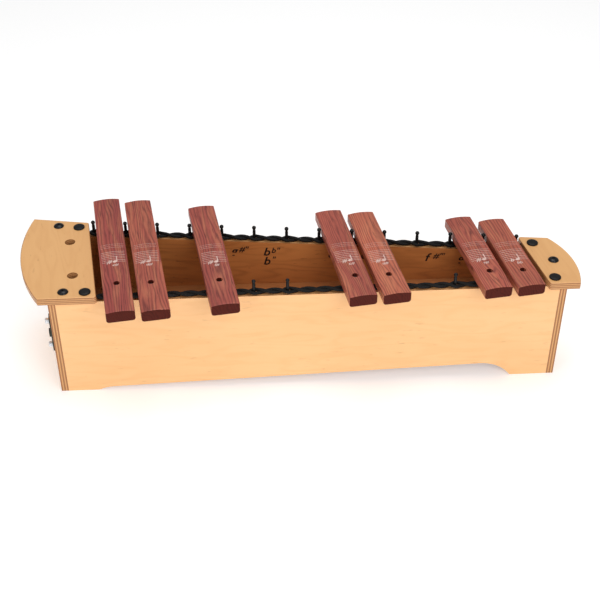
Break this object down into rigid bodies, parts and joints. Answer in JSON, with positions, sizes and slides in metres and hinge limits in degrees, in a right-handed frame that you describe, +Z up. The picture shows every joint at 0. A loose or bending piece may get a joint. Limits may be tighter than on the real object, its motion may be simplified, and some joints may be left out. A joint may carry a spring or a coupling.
{
  "type": "chromatic soprano xylophone",
  "caption": "Box-resonator xylophone with lift-off wooden bars on corded rails, held by rubber-sleeved pins, with a grip plate at each end.",
  "frame": {"origin": "middle of the bounding box, on the floor", "axes": "+X along the box from the low notes to the high notes, +Y away from the player, +Z up; bars lie along Y"},
  "size_m": [0.6108, 0.2692, 0.1462],
  "materials": {
    "panel_plywood": "satin",
    "plate_plywood": "satin",
    "floor_plywood": "matte",
    "dowel_beech": "matte",
    "rosewood": "satin",
    "black_screw": "semi-gloss",
    "black_rubber": "satin",
    "pin_steel": "plain",
    "black_cord": "matte",
    "coupling_plastic": "matte",
    "bright_screw": "polished"
  },
  "bodies": {
    "resonator_box": {"front_panel": "panel_plywood", "rear_panel": "panel_plywood", "left_end_panel": "panel_plywood", "right_end_panel": "panel_plywood", "resonator_floor": "floor_plywood", "corner_dowels": "dowel_beech", "left_handle_plate": "plate_plywood", "right_handle_plate": "plate_plywood", "left_handle_screws": "black_screw", "right_handle_screw": "black_screw", "left_handle_buttons": "black_rubber", "right_handle_buttons": "black_rubber", "front_pins": "pin_steel", "front_pin_sleeves": "black_rubber", "rear_pins": "pin_steel", "rear_pin_sleeves": "black_rubber", "front_cord_near_strand": "black_cord", "front_cord_far_strand": "black_cord", "rear_cord_near_strand": "black_cord", "rear_cord_far_strand": "black_cord", "coupling_plate": "coupling_plastic", "coupling_screws": "bright_screw"},
    "bar_c_sharp_low": {"bar_c_sharp_low": "rosewood"},
    "bar_d_sharp_low": {"bar_d_sharp_low": "rosewood"},
    "bar_f_sharp_low": {"bar_f_sharp_low": "rosewood"},
    "bar_c_sharp_high": {"bar_c_sharp_high": "rosewood"},
    "bar_d_sharp_high": {"bar_d_sharp_high": "rosewood"},
    "bar_g_sharp_high": {"bar_g_sharp_high": "rosewood"},
    "bar_b_flat_high": {"bar_b_flat_high": "rosewood"}
  },
  "joints": [
    {"name": "bar_c_sharp_low_lift", "type": "slide", "parent": "resonator_box", "child": "bar_c_sharp_low", "axis": [0, 0, 1], "range_m": [0, 0.04]},
    {"name": "bar_d_sharp_low_lift", "type": "slide", "parent": "resonator_box", "child": "bar_d_sharp_low", "axis": [0, 0, 1], "range_m": [0, 0.04]},
    {"name": "bar_f_sharp_low_lift", "type": "slide", "parent": "resonator_box", "child": "bar_f_sharp_low", "axis": [0, 0, 1], "range_m": [0, 0.04]},
    {"name": "bar_c_sharp_high_lift", "type": "slide", "parent": "resonator_box", "child": "bar_c_sharp_high", "axis": [0, 0, 1], "range_m": [0, 0.04]},
    {"name": "bar_d_sharp_high_lift", "type": "slide", "parent": "resonator_box", "child": "bar_d_sharp_high", "axis": [0, 0, 1], "range_m": [0, 0.04]},
    {"name": "bar_g_sharp_high_lift", "type": "slide", "parent": "resonator_box", "child": "bar_g_sharp_high", "axis": [0, 0, 1], "range_m": [0, 0.04]},
    {"name": "bar_b_flat_high_lift", "type": "slide", "parent": "resonator_box", "child": "bar_b_flat_high", "axis": [0, 0, 1], "range_m": [0, 0.04]}
  ]
}
